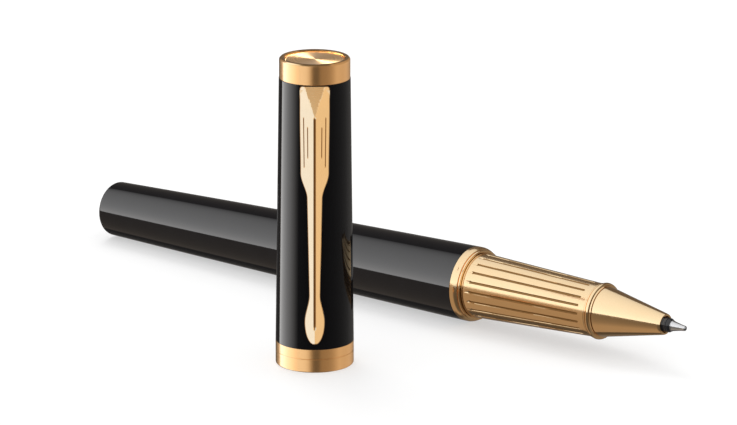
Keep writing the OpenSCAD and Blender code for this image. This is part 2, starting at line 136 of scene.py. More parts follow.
def round_corners(corners):
    """Points of a closed outline whose corners are (radius, height, rounding)."""
    out = []
    for i, (radius, height, rounding) in enumerate(corners):
        here = Vector((radius, height))
        if rounding <= 0:
            out.append(here)
            continue
        back = Vector(corners[i - 1][:2]) - here
        ahead = Vector(corners[(i + 1) % len(corners)][:2]) - here
        reach = min(rounding, back.length * 0.45, ahead.length * 0.45)
        a, b = here + back.normalized() * reach, here + ahead.normalized() * reach
        for k in range(ROUNDING_STEPS + 1):
            s = k / ROUNDING_STEPS
            out.append(a * (1 - s) ** 2 + here * 2 * s * (1 - s) + b * s ** 2)
    return out


def rounded(corners):
    """A closed outline with its corners rounded, all in millimetres. Guard points beside the
    corners keep the shading of long faces flat."""
    points = round_corners(corners)
    guarded = []
    for here, there in zip(points, points[1:] + points[:1]):
        guarded.append(here)
        step = there - here
        if step.length > GUARD * 5:
            guarded.append(here + step.normalized() * GUARD)
            guarded.append(there - step.normalized() * GUARD)
    return [(max(p.x, 0.0), p.y) for p in guarded]


def finish_mesh(name, bm, placed, sharp=40):
    """Turns a bmesh in millimetres into an object, smooth but for edges sharper than so many
    degrees."""
    bmesh.ops.recalc_face_normals(bm, faces=bm.faces)
    bm.transform(placed @ Matrix.Scale(MM, 4))
    mesh = bpy.data.meshes.new(name)
    bm.to_mesh(mesh)
    bm.free()
    mesh.polygons.foreach_set("use_smooth", [True] * len(mesh.polygons))
    mesh.set_sharp_from_angle(angle=math.radians(sharp))
    piece = bpy.data.objects.new(name, mesh)
    bpy.context.scene.collection.objects.link(piece)
    return piece


def skin(bm, rows, closed_rows=False):
    """Faces between rows of corners. A row of one corner is a point on the axis."""
    pairs = list(zip(rows, rows[1:])) + ([(rows[-1], rows[0])] if closed_rows else [])
    for low, high in pairs:
        n = max(len(low), len(high))
        if n == 1:
            continue
        for i in range(n):
            j = (i + 1) % n
            a, b = low[i % len(low)], low[j % len(low)]
            c, d = high[j % len(high)], high[i % len(high)]
            corners = list(dict.fromkeys((a, b, c, d)))
            if len(corners) > 2:
                bm.faces.new(corners)


def ring_of_corners(bm, radius, height, turns):
    """A row of corners round the axis."""
    angles = (2 * math.pi * i / turns for i in range(turns))
    return [bm.verts.new((radius * math.cos(a), radius * math.sin(a), height)) for a in angles]


def lathe(name, outline, placed, closed=True, turns=TURNS):
    """A turned piece from an outline of (radius, height) points, in millimetres."""
    on_axis = 1e-6
    bm = bmesh.new()
    rows = []
    for radius, height in outline:
        if radius < on_axis:
            rows.append([bm.verts.new((0, 0, height))])
        else:
            rows.append(ring_of_corners(bm, radius, height, turns))
    skin(bm, rows, closed_rows=closed)
    return finish_mesh(name, bm, placed)


def turned(name, node, placed, look, corners, turns=TURNS):
    """A turned piece with rounded corners, which stands for a CAD node."""
    return stand_for(lathe(name, rounded(corners), placed, turns=turns), node, look)


def wound(steps, per_turn, section):
    """A bar wound round the axis. section(step) gives its corners there as (radius, height)."""
    bm = bmesh.new()
    rows = []
    for i in range(steps + 1):
        a = 2 * math.pi * i / per_turn
        rows.append([bm.verts.new((r * math.cos(a), r * math.sin(a), z)) for r, z in section(i)])
    skin(bm, rows)
    bm.faces.new(rows[0])
    bm.faces.new(rows[-1])
    return bm


def give_material(bm, corners, index):
    """Gives the faces whose corners are all among these the piece's material of that number."""
    for face in bm.faces:
        if all(corner in corners for corner in face.verts):
            face.material_index = index


def stand_for(piece, node, *looks):
    """Hides the CAD node, and gives the fine piece its body and materials."""
    bodies = frame["record"]["behaviour"]["bodies"]
    body = next(b for b, nodes in bodies.items() if node in nodes)
    for look in looks:
        piece.data.materials.append(look)
    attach(piece, body)
    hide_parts(node)
    return piece


# ---- material nodes

class Nodes:
    """Short calls that add nodes to one tree and return their output."""

    def __init__(self, tree):
        self.tree = tree

    def fill(self, socket, value):
        """Links another node's output to a socket, or sets the socket's own value."""
        if isinstance(value, bpy.types.NodeSocket):
            self.tree.links.new(value, socket)
        else:
            socket.default_value = value

    def add(self, kind, inputs=None, **settings):
        node = self.tree.nodes.new(kind)
        for key, value in settings.items():
            setattr(node, key, value)
        for key, value in (inputs or {}).items():
            self.fill(node.inputs[key], value)
        return node

    def math(self, operation, a, b=0.0, c=0.0):
        return self.add("ShaderNodeMath", {0: a, 1: b, 2: c}, operation=operation).outputs[0]

    def place(self, scale=(1, 1, 1)):
        """Object coordinates in millimetres, stretched by scale."""
        coords = self.add("ShaderNodeTexCoord").outputs["Object"]
        stretch = [s / MM for s in scale]
        return self.add("ShaderNodeMapping", {"Vector": coords, "Scale": stretch}).outputs[0]

    def noise(self, vector, scale, detail=3.0, roughness=0.55):
        inputs = {"Vector": vector, "Scale": scale, "Detail": detail, "Roughness": roughness}
        return self.add("ShaderNodeTexNoise", inputs).outputs["Fac"]

    def spread(self, value, source, target):
        """A value whose range (low, high) is moved to another, and held at its ends."""
        inputs = {0: value, 1: source[0], 2: source[1], 3: target[0], 4: target[1]}
        return self.add("ShaderNodeMapRange", inputs).outputs[0]

    def mix(self, factor, a, b):
        node = self.add("ShaderNodeMix", data_type="RGBA")
        for index, value in ((0, factor), (6, a), (7, b)):
            self.fill(node.inputs[index], value)
        return node.outputs[2]

    def ramp(self, value, stops):
        """A colour ramp from (place, colour) stops in rising order."""
        node = self.add("ShaderNodeValToRGB", {0: value})
        elements = node.color_ramp.elements
        elements[0].position, elements[0].color = stops[0]
        elements[1].position, elements[1].color = stops[-1]
        for place, colour in stops[1:-1]:
            elements.new(place).color = colour
        return node.outputs[0]

    def left_of_camera(self, vector):
        """Angle in radians of a direction from the cap, to the left of the way to the camera."""
        way = self.add("ShaderNodeSeparateXYZ", {0: vector})
        turn = self.math("ARCTAN2", way.outputs["Y"], way.outputs["X"])
        return self.math("WRAP", self.math("SUBTRACT", TO_CAMERA, turn), math.pi, -math.pi)

    def bump(self, height, strength, depth_mm):
        inputs = {"Height": height, "Strength": strength, "Distance": depth_mm * MM}
        return self.add("ShaderNodeBump", inputs).outputs[0]


def material(name, constants, build):
    """A Principled material. build(nodes) returns what is linked to its sockets."""
    made = bpy.data.materials.new(name)
    made.use_nodes = True
    shader = made.node_tree.nodes["Principled BSDF"]
    for key, value in constants.items():
        shader.inputs[key].default_value = value
    for key, socket in build(Nodes(made.node_tree)).items():
        made.node_tree.links.new(socket, shader.inputs[key])
    return made


# ---- materials

GOLD = (0.91, 0.585, 0.285, 1)
GOLD_WARM = (0.86, 0.53, 0.235, 1)
GOLD_PALE = (0.95, 0.66, 0.38, 1)
MIDDLE = (0.3, 0.7)      # most of a noise lies in this range


def lacquer():
    """Black lacquer: nearly a mirror, with a faint haze, dust specks and orange peel."""
    def build(n):
        place = n.place()
        haze = n.noise(place, 0.35, 4)
        specks = n.noise(place, 14, 2)
        peel = n.noise(place, 1.6, 2)
        colour = n.mix(haze, (0.0012, 0.0012, 0.0016, 1), (0.0024, 0.0024, 0.003, 1))
        rough = n.math("ADD", n.spread(haze, MIDDLE, (0.03, 0.06)),
                       n.spread(specks, (0.62, 0.75), (0, 0.03)))
        return {"Base Color": colour, "Roughness": rough, "Normal": n.bump(peel, 0.05, 0.02)}
    return material("black_lacquer", {"IOR": 1.40}, build)


def gold(name, brush, rough, lines=0.35, warm=0.35):
    """Gold plate, with fine lines that run the way brush stretches least. lines is how deep they
    look, and warm is how far they change the colour."""
    def build(n):
        cloud = n.noise(n.place(), 0.5, 3)
        brushed = n.noise(n.place(brush), 1, 4, 0.7)
        wear = n.noise(n.place(), 3.5, 5, 0.7)
        tone = n.mix(n.spread(brushed, MIDDLE, (0, warm)), GOLD, GOLD_WARM)
        colour = n.mix(n.spread(cloud, (0.35, 0.75), (0, 0.12)), tone, GOLD_PALE)
        roughness = n.math("ADD", n.spread(brushed, MIDDLE, (rough * 0.8, rough * 1.25)),
                           n.spread(wear, (0.6, 0.8), (0, 0.05)))
        return {"Base Color": colour, "Roughness": roughness,
                "Normal": n.bump(brushed, lines, 0.004)}
    return material(name, {"Metallic": 1.0}, build)


def turned_gold():
    """The top disc: fine rings turned about the cap's axis, which draw the light into a bow tie."""
    cuts_per_mm = 9

    def build(n):
        coords = n.add("ShaderNodeTexCoord").outputs["Object"]
        flat = n.add("ShaderNodeVectorMath", {0: coords, 1: (1, 1, 0)}, operation="MULTIPLY")
        radius = n.add("ShaderNodeVectorMath", {0: flat.outputs[0]}, operation="LENGTH")
        cuts = n.math("MULTIPLY", radius.outputs["Value"], cuts_per_mm / MM)
        cut = n.noise(n.add("ShaderNodeCombineXYZ", {"X": cuts}).outputs[0], 1, 3, 0.6)
        tangent = n.add("ShaderNodeTangent", direction_type="RADIAL", axis="Z").outputs[0]
        return {"Base Color": n.mix(cut, GOLD, GOLD_WARM),
                "Roughness": n.spread(cut, MIDDLE, (0.24, 0.34)),
                "Normal": n.bump(cut, 0.25, 0.004), "Tangent": tangent}
    return material("turned_gold", {"Metallic": 1.0, "Anisotropic": 0.85}, build)


def metal(name, low, high, brush, rough):
    """Plain metal between two colours, with lines that run the way brush stretches least."""
    def build(n):
        lines = n.noise(n.place(brush), 1, 4, 0.65)
        cloud = n.noise(n.place(), 0.8, 3)
        return {"Base Color": n.mix(lines, low, high),
                "Roughness": n.math("ADD", n.spread(lines, MIDDLE, (rough * 0.8, rough * 1.3)),
                                    n.spread(cloud, (0.4, 0.8), (0, 0.05))),
                "Normal": n.bump(lines, 0.3, 0.003)}
    return material(name, {"Metallic": 1.0}, build)


def plastic(name, low, high, rough, grain, bump):
    """Moulded plastic between two colours, with a fine grain."""
    def build(n):
        fine = n.noise(n.place(), grain, 4, 0.6)
        cloud = n.noise(n.place(), 0.4, 3)
        return {"Base Color": n.mix(cloud, low, high),
                "Roughness": n.spread(fine, MIDDLE, (rough * 0.85, rough * 1.2)),
                "Normal": n.bump(fine, bump, 0.01)}
    return material(name, {"IOR": 1.49}, build)


def fibre(name, low, high):
    """Bonded fibres that run along the pen."""
    def build(n):
        strands = n.noise(n.place((0.5, 12, 12)), 1, 5, 0.7)
        return {"Base Color": n.mix(strands, low, high),
                "Roughness": n.spread(strands, (0.2, 0.8), (0.7, 0.95)),
                "Normal": n.bump(strands, 0.6, 0.03)}
    return material(name, {}, build)


ROUND_CAP = (0.12, 0.12, 22)     # brushed lines that run round the upright cap
ROUND_PEN = (22, 0.12, 0.12)     # and round the pen, which lies nearly along x
LACQUER = lacquer()
GOLD_CAP = gold("brushed_gold_cap", ROUND_CAP, 0.20)
GOLD_PEN = gold("brushed_gold_pen", ROUND_PEN, 0.17)
GOLD_POLISH = gold("polished_gold_nose", (6, 0.3, 0.3), 0.12, 0.12, 0.15)
GOLD_CLIP = gold("polished_gold_clip", (3, 3, 0.2), 0.13, 0.10, 0.15)
GOLD_DISC = turned_gold()
# The clip's top facet: a brushed finish, and a gold colour darker than the rest of the plate, which
# is painted shade.
GOLD_FACET_SHADED = metal("brushed_gold_facet_painted_shade", (0.60, 0.33, 0.12, 1), (0.70, 0.41, 0.17, 1),
                   (0.4, 0.4, 14), 0.26)
# Darker gold for the faces down in the grip's flutes and in the clip's groove and lines: painted
# shade in the recesses, not the plating's own colour.
GOLD_GROOVE_SHADE = metal("gold_with_painted_groove_shade", (0.24, 0.115, 0.033, 1), (0.33, 0.165, 0.05, 1),
                    (4, 4, 4), 0.34)
BRASS = metal("machined_brass", (0.60, 0.42, 0.18, 1), (0.78, 0.60, 0.30, 1), ROUND_PEN, 0.24)
STEEL = metal("ground_steel", (0.50, 0.51, 0.53, 1), (0.74, 0.75, 0.77, 1), (30, 0.3, 0.3), 0.17)
SPRING_STEEL = metal("drawn_wire", (0.48, 0.49, 0.51, 1), (0.66, 0.67, 0.69, 1), (8, 8, 8), 0.28)
CARBIDE = metal("ball_carbide", (0.36, 0.37, 0.39, 1), (0.46, 0.47, 0.49, 1), (10, 10, 10), 0.10)
BLACK_PLASTIC = plastic("black_plastic", (0.010, 0.010, 0.011, 1), (0.017, 0.017, 0.019, 1),
                        0.34, 18, 0.12)
GLOSS_BLACK = plastic("gloss_black_plastic", (0.006, 0.006, 0.007, 1), (0.012, 0.012, 0.013, 1),
                      0.16, 10, 0.04)
REFILL_PLASTIC = plastic("refill_plastic", (0.70, 0.71, 0.73, 1), (0.80, 0.81, 0.82, 1),
                         0.30, 9, 0.08)
INK_FIBRE = fibre("ink_fibre", (0.012, 0.02, 0.12, 1), (0.03, 0.05, 0.22, 1))
FEED_FIBRE = fibre("feed_fibre", (0.62, 0.62, 0.60, 1), (0.82, 0.82, 0.79, 1))


# ---- barrel

def barrel_side(mouth, rear, swell, length, steps=40):
    """The outer side behind the mouth's edge, which swells a little half way."""
    shares = [i / steps for i in range(1, steps + 1)]
    return [(mouth + (rear - mouth) * s + 4 * swell * s * (1 - s), length * s) for s in shares]


def barrel_end(rear, side_end, low, arc_steps=14):
    """The rounded edge of the closed end, and the flat inside it."""
    edge = side_end - low
    arc = [math.pi / 2 * i / arc_steps for i in range(1, arc_steps + 1)]
    flat = [1 - k / 4 for k in range(1, 4)]
    return ([(rear - edge * (1 - math.cos(a)), side_end - edge * math.sin(a)) for a in arc]
            + [((rear - edge) * share, low) for share in flat])


def barrel_tube():
    low, _ = ends("barrel_tube", PEN)
    mouth = ring_near("barrel_tube", PEN, 0) - FIT_GAP
    full = 0.98 * ring_near("barrel_tube", PEN, low * 0.97)
    side_end = min(h for h, r in rings("barrel_tube", PEN) if r > full)
    rear = ring_near("barrel_tube", PEN, side_end) - FIT_GAP
    middle = ring_near("barrel_tube", PEN, side_end / 2, least=rear) - FIT_GAP
    swell = middle - (mouth + rear) / 2
    chamfer, seat = 0.03, -12
    bore, rear_bore, wall_end = mouth - 0.84, rear - 0.8, low + 2.2
    outline = [(mouth - chamfer, 0), (mouth, -chamfer), (mouth, -2 * chamfer)]
    outline += barrel_side(mouth, rear, swell, side_end)
    outline += barrel_end(rear, side_end, low)
    outline += [(0, low), (0, wall_end), (rear_bore, wall_end), (rear_bore, low + 6),
                (bore - 0.35, seat), (bore, seat), (bore, -0.05), (mouth - 2 * chamfer, 0)]
    return stand_for(lathe("barrel_shell", outline, PEN), "barrel_tube", LACQUER)


def trim_ring():
    """A plain band with a rounded shoulder, then a narrow groove and a lip."""
    low, high, outer = span("trim_ring", PEN)
    bore, spigot, cup = outer - 1.75, outer - 0.88, outer - 0.78
    groove, lip = outer - 0.52, outer - 0.36
    band_low, recess, top = 0.03, high - 0.14, high - 0.01
    return turned("trim_ring_turned", "trim_ring", PEN, GOLD_PEN, [
        (bore, low, 0.05), (spigot, low, 0.05), (spigot, band_low, 0), (outer, band_low, 0.05),
        (outer, high - 1.0, 0.45), (outer - 0.26, high - 0.42, 0.10), (groove, high - 0.38, 0.03),
        (groove, high - 0.30, 0.03), (lip, high - 0.26, 0.06), (lip - 0.06, top, 0.10),
        (cup, top, 0.02), (cup, recess, 0.02), (bore, recess, 0.02)])


def thread_helix(stub, crest, low, high):
    """A true right-handed thread on the stub, which grows out of it and fades at its ends."""
    per_turn, fading = 72, 14
    root, out = -0.04, crest - stub - 0.01
    profile = [(-0.30, root), (-0.10, out), (0.10, out), (0.30, root)]    # (share of pitch, out)
    steps = int((high - low) / PITCH * per_turn)

    def section(i):
        fade = min(1.0, i / fading, (steps - i) / fading)
        middle = low + PITCH * i / per_turn
        return [(stub + out_by * (fade if out_by > 0 else 1), middle + along * PITCH)
                for along, out_by in profile]
    helix = finish_mesh("thread_helix", wound(steps, per_turn, section), PEN, sharp=25)
    helix.data.materials.append(GOLD_PEN)
    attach(helix, "section")


def thread_bush():
    """Flange and stub, with the helix that the CAD node shows as plain ridges."""
    low, high, flange = span("section_thread", PEN)
    crest = ring_near("section_thread", PEN, -2.0) - 0.01
    stub, bore = crest - 0.25, crest - 0.64
    flange_low = high - 0.29
    outline = rounded([
        (bore, low, 0.04), (stub, low, 0.2), (stub, flange_low, 0.03), (flange, flange_low, 0.07),
        (flange, high, 0.07), (bore, high, 0.02)])
    piece = lathe("thread_bush_turned", outline, PEN)
    thread_helix(stub, crest, low + 0.55, -1.15)
    return stand_for(piece, "section_thread", GOLD_PEN)


# ---- section

FLUTES = 20
FIRST_FLUTE = math.radians(15)
FLUTE_HALF = 0.20        # half its width, in millimetres
FLUTE_DEPTH = 0.14
DOT_RADIUS = 0.25        # of the drilled dot in which a flute starts
DOT_DEPTH = 1.3          # times a flute's depth
FLUTE_MARGIN = 1.2       # between a flute's ends and the sleeve's
# Where the corners stand across one flute's share of the girth: close at the groove's walls.
HALF_SHARES = [0.045, 0.08, 0.103, 0.116, 0.128, 0.14, 0.155, 0.172, 0.2, 0.28, 0.38]
FLUTE_SHARES = [-0.5] + [-s for s in reversed(HALF_SHARES)] + [0] + HALF_SHARES


def grip_heights(low, high, start, end):
    """Heights of the sleeve's rows, close together at its ends and at the flutes' ends."""
    edge_rows = [0, 0.03, 0.07, 0.12, 0.5]
    flute_rows = [0, 0.05, 0.1, 0.14, 0.18, 0.22, 0.27, 0.32, 0.4, 0.5, 0.7, 1.0]
    lead, dense, long_rows = 0.06, 1.5, 22
    heights = [low + o for o in edge_rows] + [start - lead + o for o in flute_rows]
    heights += [start + dense + (end - start - 2 * dense) * i / long_rows
                for i in range(long_rows + 1)]
    return (heights + [end + lead - o for o in reversed(flute_rows)]
            + [high - o for o in reversed(edge_rows)])


def flute_cut(across, height, start, end):
    """Depth cut away at a place so far across from a flute's middle."""
    past = max(0.0, start + FLUTE_HALF - height, height - (end - FLUTE_HALF))
    s = math.hypot(across, past) / FLUTE_HALF
    d = math.hypot(across, height - (start + DOT_RADIUS * 0.5)) / DOT_RADIUS
    groove = FLUTE_DEPTH * (1 - s ** 6) if s < 1 else 0.0
    drill = FLUTE_DEPTH * DOT_DEPTH * (1 - d ** 6) if d < 1 else 0.0
    return max(groove, drill)


def grip_row(bm, radius, height, start, end, deep):
    """One row of corners round the sleeve. Those down in a flute are added to deep, whose faces get
    the darker gold of painted shade.
    """
    clearly_cut = 0.02
    row = []
    for k in range(FLUTES):
        for share in FLUTE_SHARES:
            a = FIRST_FLUTE + 2 * math.pi * (k + share) / FLUTES
            sunk = flute_cut(share * 2 * math.pi * radius / FLUTES, height, start, end)
            r = radius - sunk
            row.append(bm.verts.new((r * math.cos(a), r * math.sin(a), height)))
            if sunk > clearly_cut:
                deep.add(row[-1])
    return row


def bore_row(bm, outer_row, radius, height):
    """A row inside the sleeve, in line with a row outside."""
    row = []
    for corner in outer_row:
        from_axis = math.hypot(corner.co.x, corner.co.y)
        x, y = radius * corner.co.x / from_axis, radius * corner.co.y / from_axis
        row.append(bm.verts.new((x, y, height)))
    return row


def grip_sleeve():
    """The tapered sleeve with its flutes cut as real grooves, each starting in a drilled dot."""
    low, high = ends("grip_sleeve", PEN)
    rear = ring_near("grip_sleeve", PEN, low) - FIT_GAP
    front = ring_near("grip_sleeve", PEN, high) - FIT_GAP
    start, end = low + FLUTE_MARGIN, high - FLUTE_MARGIN
    wall, edge_fall, edge_reach = 0.48, 0.05, 0.1
    bm = bmesh.new()
    rows, deep = [], set()
    for height in grip_heights(low, high, start, end):
        radius = rear + (front - rear) * (height - low) / (high - low)
        near_end = min(height - low, high - height)
        radius -= edge_fall * max(0.0, 1 - near_end / edge_reach) ** 2
        rows.append(grip_row(bm, radius, height, start, end, deep))
    inside = [bore_row(bm, rows[0], front - wall, high), bore_row(bm, rows[0], rear - wall, low)]
    skin(bm, rows + inside, closed_rows=True)
    # the faces down in the flutes get the darker gold: painted shade
    give_material(bm, deep, 1)
    piece = finish_mesh("grip_fluted", bm, PEN, sharp=50)
    return stand_for(piece, "grip_sleeve", GOLD_PEN, GOLD_GROOVE_SHADE)


def bead_ring():
    """A narrow fillet, a groove, the round bead and a step down to the nose."""
    low, high, outer = span("bead_ring", PEN)
    inner, groove, fillet = outer - 1.2, outer - 0.30, outer - 0.14
    return turned("bead_ring_turned", "bead_ring", PEN, GOLD_POLISH, [
        (inner, low, 0.02), (outer - 0.28, low + 0.01, 0.04), (fillet, low + 0.12, 0.08),
        (fillet, low + 0.34, 0.08), (groove, low + 0.40, 0.02), (groove, low + 0.48, 0.02),
        (outer - 0.04, low + 0.54, 0.08), (outer, low + 0.76, 0.2),
        (outer - 0.10, high - 0.32, 0.16), (outer - 0.42, high - 0.24, 0.04),
        (outer - 0.46, high, 0.02), (inner, high, 0.02)])


def nose_cone():
    """The cone, a little fuller behind than the CAD's, with the spigot that goes into the core."""
    low, high = ends("nose_cone", PEN)
    widest_ring = max((r, h) for h, r in rings("nose_cone", PEN))
    base, base_h = widest_ring[0] - FIT_GAP, widest_ring[1]
    mouth = ring_near("nose_cone", PEN, high - 0.1) - FIT_GAP
    bore, bore_end = ring_near("nose_cone", PEN, high - 2.0), high - 2.0
    spigot = base - 0.565
    hollow, shoulder_h, fuller = base - 0.785, base_h + 0.01, 0.12
    return turned("nose_cone_turned", "nose_cone", PEN, GOLD_POLISH, [
        (hollow, low, 0.03), (spigot, low, 0.03), (spigot, shoulder_h, 0),
        (base - 0.25, shoulder_h, 0.03), (base + fuller, base_h + 0.05, 0.10),
        (base - 0.01, base_h + 0.7, 0.5), (mouth + 0.07, high - 0.35, 0.3),
        (mouth - 0.04, high - 0.01, 0.08), (bore, high - 0.02, 0.05), (bore, bore_end, 0.05),
        (hollow - 0.76, base_h + 5.9, 0.02), (hollow, base_h + 1.5, 0.02)])


# ---- refill

def tip_holder():
    """The black holder: a neck inside the tube, a collar, and a stem with a turned groove."""
    low, high, wide = span("tip_holder", PEN)
    _, nose_end = ends("nose_cone", PEN)
    stem = ring_near("tip_holder", PEN, high - 0.4, least=1.0) - FIT_GAP
    bore, neck, groove, collar = 0.72, wide - 0.38, stem - 0.09, low + 5.0
    return turned("tip_holder_moulded", "tip_holder", PEN, GLOSS_BLACK, [
        (bore, low + 0.02, 0.02), (neck, low + 0.02, 0.05), (neck, collar, 0),
        (wide, collar + 0.04, 0.05), (wide, low + 6.7, 0.1), (wide - 0.9, low + 11.5, 0.05),
        (stem + 0.25, low + 11.7, 0.1), (stem, nose_end - 2.0, 0.3), (stem, nose_end + 0.62, 0.04),
        (groove, nose_end + 0.66, 0.02), (groove, nose_end + 0.74, 0.02),
        (stem - 0.02, nose_end + 0.78, 0.04), (stem - 0.02, high - 0.42, 0.12),
        (stem - 0.28, high - 0.02, 0.05), (bore, high - 0.02, 0.02)], turns=SLIM_TURNS)


def steel_point():
    """The point: a shank in the holder, a thin collar and a cone that holds the ball."""
    low, high, base = span("steel_point", PEN)
    _, seat = ends("tip_holder", PEN)
    mouth = ring_near("steel_point", PEN, high) - FIT_GAP
    bore, shank, inside, top = 0.21, 0.69, mouth * 0.87, high - 0.01
    return turned("steel_point_ground", "steel_point", PEN, STEEL, [
        (bore, low, 0.02), (shank, low, 0.05), (shank, seat + 0.02, 0), (base, seat + 0.02, 0.03),
        (base, seat + 0.10, 0.04), (base - 0.07, seat + 0.16, 0.03),
        (mouth + 0.10, high - 0.75, 0.1), (mouth + 0.015, high - 0.10, 0.06),
        (mouth - 0.02, top, 0.02), (inside, top, 0.01), (inside, high - 0.1, 0.01),
        (bore, high - 0.5, 0.02)], turns=SLIM_TURNS)


def writing_ball():
    low, high = ends("writing_ball", PEN)
    radius, centre = (high - low) / 2, (high + low) / 2
    steps = 32
    arc = [math.pi * i / steps for i in range(steps + 1)]
    outline = [(radius * math.sin(a), centre - radius * math.cos(a)) for a in arc]
    piece = lathe("writing_ball_ground", outline, PEN, closed=False, turns=BALL_TURNS)
    return stand_for(piece, "writing_ball", CARBIDE)


def refill_spring():
    """The coil, wound from round wire as one fixed shape; in the pen it shortens as the refill is
    pushed in.
    """
    low, high, outer = span("refill_spring", PEN)
    inverse = PEN.inverted()
    corners = [(inverse @ v.co) / MM for v in frame["nodes"]["refill_spring"].data.vertices]
    wire = (outer - min(math.hypot(p.x, p.y) for p in corners)) / 2 - FIT_GAP
    turns, per_turn, sides = 6, 48, 12
    steps = turns * per_turn

    def section(i):
        height = low + wire + (high - low - 2 * wire) * i / steps
        return [(outer - wire + wire * math.cos(b), height + wire * math.sin(b))
                for b in (2 * math.pi * j / sides for j in range(sides))]
    bm = wound(steps, per_turn, section)
    coil = stand_for(finish_mesh("refill_spring_coiled", bm, PEN), "refill_spring", SPRING_STEEL)
    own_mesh(coil)


# ---- cap

def cap_tube():
    low, high, outer = span("cap_tube", CAP)
    side_low = min(h for h, r in rings("cap_tube", CAP) if r > outer - 0.02)
    top = ring_near("cap_tube", CAP, high) - FIT_GAP
    seat = ring_near("cap_tube", CAP, low)
    mouth, depth = (mount("cap_mouth")["dims"][key] for key in ("r_mm", "length_mm"))
    return turned("cap_shell", "cap_tube", CAP, LACQUER, [
        (mouth, low, 0.02), (seat, low, 0.05), (seat, side_low, 0), (outer, side_low, 0.04),
        (top, high, 0.06), (top - 0.5, high, 0.03), (mouth, depth, 0)])


def cap_lip_band():
    """The band at the mouth, plain but for one turned line."""
    low, high, outer = span("cap_lip_band", CAP)
    mouth = mount("cap_mouth")["dims"]["r_mm"]
    seat, ledge = outer - 0.35, low + 1.0
    line, line_size = low + (high - low) * 0.58, 0.07
    return turned("cap_lip_band_turned", "cap_lip_band", CAP, GOLD_CAP, [
        (mouth, low + 0.12, 0.1), (mouth + 0.15, low, 0.08), (outer - 0.16, low, 0.1),
        (outer, low + 0.16, 0.1), (outer, line - line_size, 0.02), (outer - line_size, line, 0.02),
        (outer, line + line_size, 0.02), (outer, high, 0.05), (seat, high, 0.03),
        (seat, ledge, 0.03), (mouth, ledge, 0.02)])


def cap_top_ring():
    """The ring with its cup, in which the disc lies."""
    low, high, outer = span("cap_top_ring", CAP)
    bore, cup, cup_floor = 1.65, outer - 0.91, low + 1.02
    return turned("cap_top_ring_turned", "cap_top_ring", CAP, GOLD_CAP, [
        (bore, low, 0.03), (outer, low, 0.05), (outer, high - 0.30, 0.10),
        (outer - 0.24, high - 0.03, 0.10), (cup + 0.21, high - 0.02, 0.06),
        (cup, high - 0.16, 0.04), (cup, cup_floor, 0.05), (bore, cup_floor, 0.03)])


def cap_top_disc():
    """The disc, slightly dished, so that its turned finish catches the light."""
    low, high, outer = span("cap_top_disc", CAP)
    face, dish, rims = high - 0.03, 0.05, 24
    outline = [(0, low), (outer - 0.05, low), (outer, low + 0.05),
               (outer, high - 0.14), (outer - 0.02, high - 0.08), (outer - 0.08, high - 0.04)]
    outline += [(outer * 0.97 * (1 - k / rims), face - dish * (k / rims)) for k in range(rims)]
    outline += [(0, high - 0.08)]
    piece = lathe("cap_top_disc_turned", outline, CAP, closed=False)
    return stand_for(piece, "cap_top_disc", GOLD_DISC)


# ---- clip

def smooth(s):
    """A smooth step from 0 to 1."""
    s = min(max(s, 0.0), 1.0)
    return s * s * (3 - 2 * s)


def fall_of_circle(share):
    """How far a quarter circle has fallen, from 0 to 1, at a share of the way out."""
    return 1 - math.sqrt(max(0.0, 1 - share ** 2))


